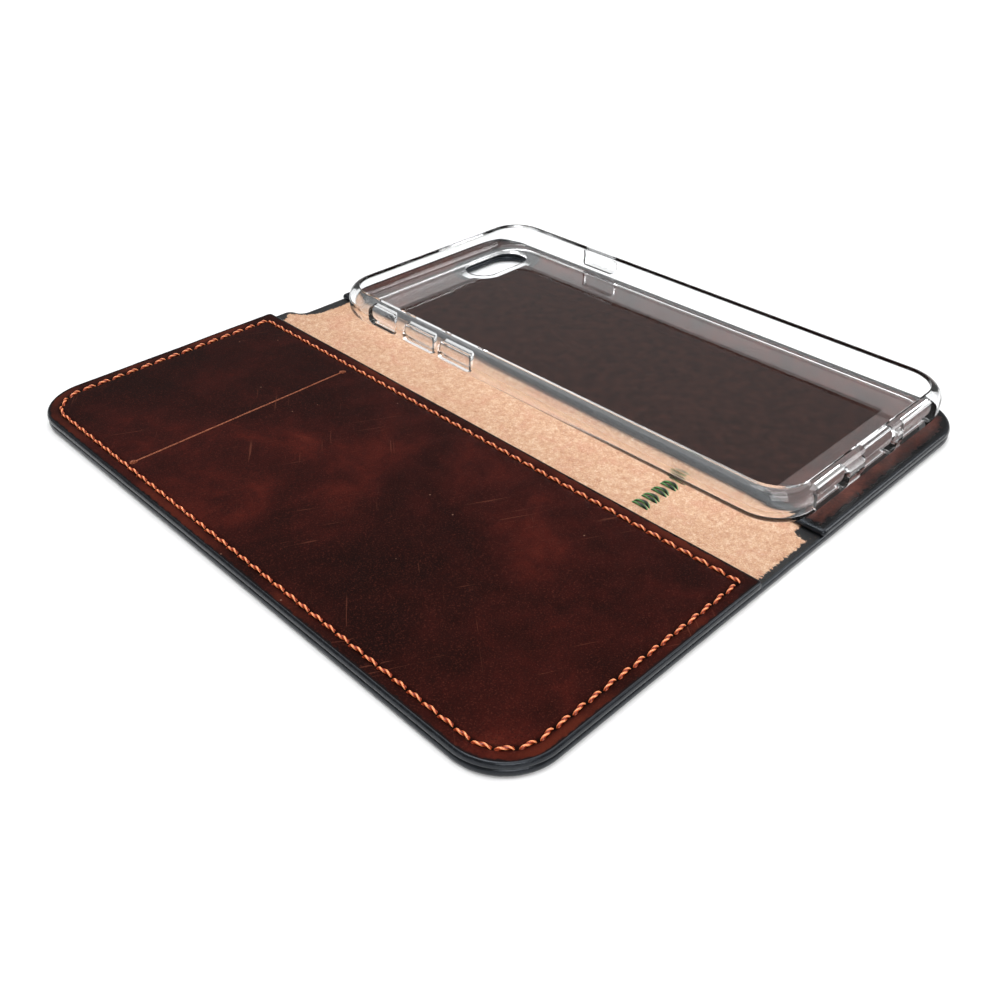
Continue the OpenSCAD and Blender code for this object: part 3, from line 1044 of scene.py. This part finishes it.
def twisted(length, d, crown, sink, turns, around=15, along=13, bow=0.0):
    """One stitch along X: a twisted thread that goes down at both ends and may bow sideways.

    Its middle is crown above its place and its ends are sink below it. Returns
    points, faces and how far out on a strand each point is.
    """
    u = np.linspace(-1, 1, along)
    a = np.linspace(0, 2 * math.pi, around, endpoint=False)
    x = length / 2 * u
    y = bow * (1 - u**2)
    z = crown - (crown + sink) * np.abs(u) ** 3
    r = d / 2 * (1 - 0.25 * np.abs(u) ** 6)
    lobes = 1 + LOBE * np.cos(STRANDS * (a[None, :] - turns * math.pi * u[:, None]))
    rr = r[:, None] * lobes
    co = [np.repeat(x[:, None], around, 1), y[:, None] + rr * np.cos(a), z[:, None] + rr * np.sin(a)]
    out = (lobes - 1 + LOBE) / (2 * LOBE)
    faces = []
    for i in range(0, (along - 1) * around, around):
        for j in range(around):
            k = (j + 1) % around
            faces.append([i + j, i + k, i + around + k, i + around + j])
    faces.append(list(range(around))[::-1])
    faces.append(list(range((along - 1) * around, along * around)))
    return np.stack(co, 2).reshape(-1, 3), faces, out.ravel()


def thread_mesh(name, parts, material, flip=False):
    """One object of many stitches: each is a pattern and its x, y, z, direction and length scale."""
    all_co, all_faces, all_crowns = [], [], []
    base = 0
    for (pattern, faces, crowns), (x, y, z, turn, scale) in parts:
        co = pattern * [scale, 1, -1 if flip else 1]
        c, s = math.cos(math.radians(turn)), math.sin(math.radians(turn))
        turned_x = x + co[:, 0] * c - co[:, 1] * s
        turned_y = y + co[:, 0] * s + co[:, 1] * c
        all_co.append(np.stack([turned_x, turned_y, z + co[:, 2]], 1))
        all_faces += [[i + base for i in (f[::-1] if flip else f)] for f in faces]
        all_crowns.append(crowns)
        base += len(co)
    numbers = {"crown": np.concatenate(all_crowns)}
    return make_mesh(name, np.vstack(all_co), all_faces, numbers, (material,), sharp=80)


def build_seam(copper):
    """Copper stitches round the pocket, on the inside and the outside of the front cover."""
    random = np.random.default_rng(11)
    inner_z, outer_z, slant = PANEL_TOP - 0.12, 0.33, 9
    inner, outer = [], []
    for i in range(SEAM_COUNT):
        x, y, a = seam_at((i + 0.5) * SEAM_PITCH)
        sway = random.normal(0, 1.6)
        size = random.uniform(0.94, 1.05)
        inner.append((x, y, inner_z, a + slant + sway, size))
        outer.append((x, y, outer_z, a - slant + sway, size))
    pattern = twisted(SEAM_PITCH * 0.9, d=0.62, crown=0.1, sink=0.45, turns=1.1)
    seam = thread_mesh("seam_inside", [(pattern, place) for place in inner], copper)
    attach(seam, "front")
    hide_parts("pocket_seam_thread")
    pattern = twisted(SEAM_PITCH * 0.84, d=0.56, crown=0.0, sink=0.42, turns=0.9)
    low = thread_mesh("seam_outside", [(pattern, place) for place in outer], copper, flip=True)
    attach(low, "front")


def build_spine_stitches(green):
    """Five green stitches of two bowed strands across the spine, on both faces."""
    inner_z, outer_z = HIDE_T + 0.08, 0.24
    above = [
        twisted(4.1, d=0.72, crown=0.14, sink=0.35, turns=0.5, around=12, along=15, bow=bow)
        for bow in (-0.75, -0.15)
    ]
    below = [twisted(3.7, d=0.42, crown=0.0, sink=0.3, turns=0.5, around=12, along=11)] * 2
    # Name, X of each stitch, CAD node, and the side that it bends at: 0 is on the
    # middle of the spine and None on the back cover, where nothing bends
    groups = (
        ("spine_thread_1", (-3.7,), "spine_stitch_1", -1),
        ("spine_thread_2", (-0.6,), "spine_stitch_2", 0),
        ("spine_thread_3", (2.5, 5.6), "spine_stitch_3", 1),
        ("spine_thread_4", (8.7,), "spine_stitch_4", None),
    )
    for name, xs, node, side in groups:
        inside_obj = stitch_pairs(f"{name}_inside", xs, inner_z, above, green, False)
        outside_obj = stitch_pairs(f"{name}_outside", xs, outer_z, below, green, True)
        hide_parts(node)
        for obj in (inside_obj, outside_obj):
            if side is None:
                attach(obj, "back")
            elif side == 0:
                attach(obj, "spine_2")
            else:
                bend(obj)


def stitch_pairs(name, xs, z, strands, material, flip):
    """Two strands side by side at each x, as one object."""
    parts = []
    for strand, offset in zip(strands, (PAIR_OFFSET, -PAIR_OFFSET)):
        parts += [(strand, (x + offset, GREEN_Y, z, 90, 1.0)) for x in xs]
    return thread_mesh(name, parts, material, flip)


def bend(obj):
    """Bake the place of a piece between a cover and the middle of the spine into its points."""
    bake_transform(obj)


# ---- Assembly ----


def rest_numbers(obj):
    """Rest place in millimetres on a CAD node, which its material reads."""
    rest = obj.data.attributes.new("rest", "FLOAT_VECTOR", "POINT")
    co = np.zeros(len(obj.data.vertices) * 3, np.float32)
    obj.data.vertices.foreach_get("co", co)
    rest.data.foreach_set("vector", co / MM)


def dress_node(name, material):
    """Give a CAD node its material."""
    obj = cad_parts[name]
    rest_numbers(obj)
    obj.data.materials.clear()
    obj.data.materials.append(material)


add_camera()
add_stage()
grain = hide_grain()
flesh = hide_flesh()
black = edge_black()

hide = build_hide(grain, flesh, black)
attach(hide["hide_front"], "front")
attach(hide["hide_back"], "back")
bend(hide["hide_spine_front"])
bend(hide["hide_spine_back"])
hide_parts("front_cover")
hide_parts("back_cover")
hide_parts("spine_strip_1", "spine_strip_2")
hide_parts("spine_strip_3")

panel = build_panel(grain, raw_cut(), black)
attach(panel, "front")
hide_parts("pocket_panel")

lining = build_lining(lining_grain(), black)
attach(lining, "back")
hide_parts("back_lining")

# Copper thread colours: dark is painted shade between the strands, glint a painted highlight.
copper = thread("copper_thread", (0.11, 0.012, 0.004), (0.50, 0.072, 0.017), (1.0, 0.40, 0.18))
build_seam(copper)
# Green thread colours: dark is painted shade between the strands, glint a painted highlight.
green = thread("green_thread", (0.0010, 0.0030, 0.0012), (0.003, 0.014, 0.005), (0.10, 0.26, 0.08))
build_spine_stitches(green)

tpu = clear_tpu()
for part in ("clear_shell", "volume_up_pad", "volume_down_pad", "power_pad"):
    dress_node(part, tpu)
dress_node("mounting_film", adhesive())
